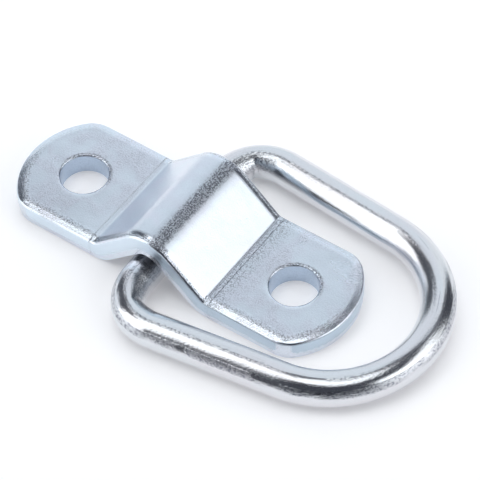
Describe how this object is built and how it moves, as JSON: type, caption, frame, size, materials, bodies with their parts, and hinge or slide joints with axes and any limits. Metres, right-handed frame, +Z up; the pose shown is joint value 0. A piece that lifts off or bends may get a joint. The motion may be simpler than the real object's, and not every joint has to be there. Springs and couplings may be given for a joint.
{
  "type": "bolt-on d-ring tie down",
  "caption": "Bolt-down steel strap bracket whose raised saddle holds a freely swinging D-shaped ring of round rod, as an anchor for lashing hooks and straps.",
  "frame": {"origin": "centre of the saddle on the mounting plane, midway between the two bolt holes", "axes": "+X along the strap from hole to hole, towards the ear that the ring rests round; +Y along the ring's straight bar; +Z up from the mounting plane"},
  "size_m": [0.0835, 0.0478, 0.0123],
  "materials": {
    "strap_zinc": "bright bluish zinc plating over stamped steel, fine grain",
    "ring_zinc": "bright bluish zinc plating over drawn rod, lengthwise draw marks"
  },
  "bodies": {
    "strap": {"strap": "strap_zinc"},
    "ring": {"ring": "ring_zinc"}
  },
  "joints": [
    {"name": "ring_swing", "type": "hinge", "parent": "strap", "child": "ring", "pos_m": [-0.0013, 0, 0.00317], "axis": [0.0349, -0.9994, 0], "range_deg": [0, 180]}
  ]
}
